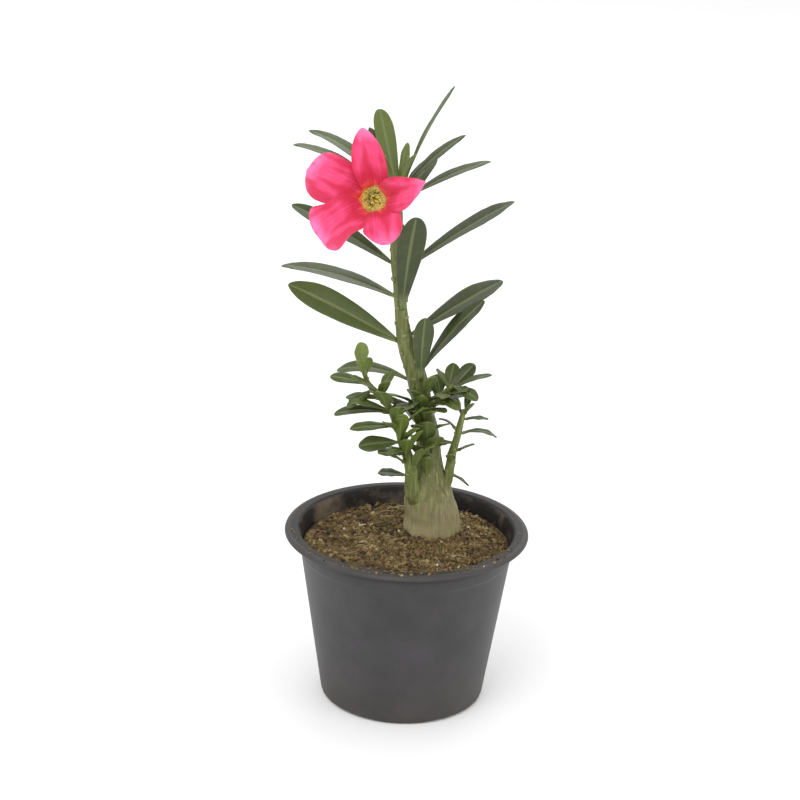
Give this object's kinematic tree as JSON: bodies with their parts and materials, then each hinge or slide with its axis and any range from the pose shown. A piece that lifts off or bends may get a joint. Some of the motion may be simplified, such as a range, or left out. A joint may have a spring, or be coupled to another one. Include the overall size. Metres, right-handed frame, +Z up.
{
  "type": "potted desert rose adenium",
  "caption": "Young potted succulent with a swollen woody foot, leaning leafy stem, side shoots and an open trumpet flower, in a round tapered nursery pot of soil.",
  "frame": {"origin": "middle of the pot's underside, on the flat pad under its floor that stands level with the foot ring", "axes": "+Z up along the pot's axis, -Y the side that the flower faces, +X to the right of someone looking at the flower"},
  "size_m": [0.1256, 0.12, 0.3059],
  "materials": {
    "nursery_pot": "satin",
    "potting_mix": "matte",
    "caudex_bark": "matte",
    "green_stem": "satin",
    "leaf": "satin",
    "sepal": "satin",
    "petal": "matte",
    "throat": "matte",
    "anther": "matte"
  },
  "bodies": {
    "root": {"pot": "nursery_pot", "potting_soil": "potting_mix", "trunk": "caudex_bark", "left_branch": "green_stem", "right_branch": "green_stem", "upper_left_branch": "green_stem", "upper_right_branch": "green_stem", "leaf_centre_1": "leaf", "leaf_centre_2": "leaf", "leaf_centre_3": "leaf", "leaf_centre_4": "leaf", "leaf_crown_1": "leaf", "leaf_crown_2": "leaf", "leaf_crown_3": "leaf", "leaf_crown_4": "leaf", "leaf_crown_5": "leaf", "leaf_crown_6": "leaf", "leaf_crown_7": "leaf", "leaf_left_1": "leaf", "leaf_left_2": "leaf", "leaf_left_3": "leaf", "leaf_left_4": "leaf", "leaf_left_5": "leaf", "leaf_left_6": "leaf", "leaf_left_7": "leaf", "leaf_left_8": "leaf", "leaf_left_9": "leaf", "leaf_left_10": "leaf", "leaf_left_11": "leaf", "leaf_left_12": "leaf", "leaf_left_13": "leaf", "leaf_right_1": "leaf", "leaf_right_2": "leaf", "leaf_right_3": "leaf", "leaf_right_4": "leaf", "leaf_right_5": "leaf", "leaf_right_6": "leaf", "leaf_right_7": "leaf", "leaf_right_8": "leaf", "leaf_right_9": "leaf", "leaf_right_10": "leaf", "leaf_right_11": "leaf", "leaf_stem_1": "leaf", "leaf_stem_2": "leaf", "leaf_stem_3": "leaf", "leaf_stem_4": "leaf", "leaf_stem_5": "leaf", "leaf_stem_6": "leaf", "leaf_stem_7": "leaf", "leaf_stem_8": "leaf", "leaf_stem_9": "leaf", "flower_stalk": "green_stem", "calyx": "sepal", "corolla_tube": "throat", "anther_cone": "anther", "petal_1": "petal", "petal_2": "petal", "petal_3": "petal", "petal_4": "petal", "petal_5": "petal"}
  },
  "joints": []
}
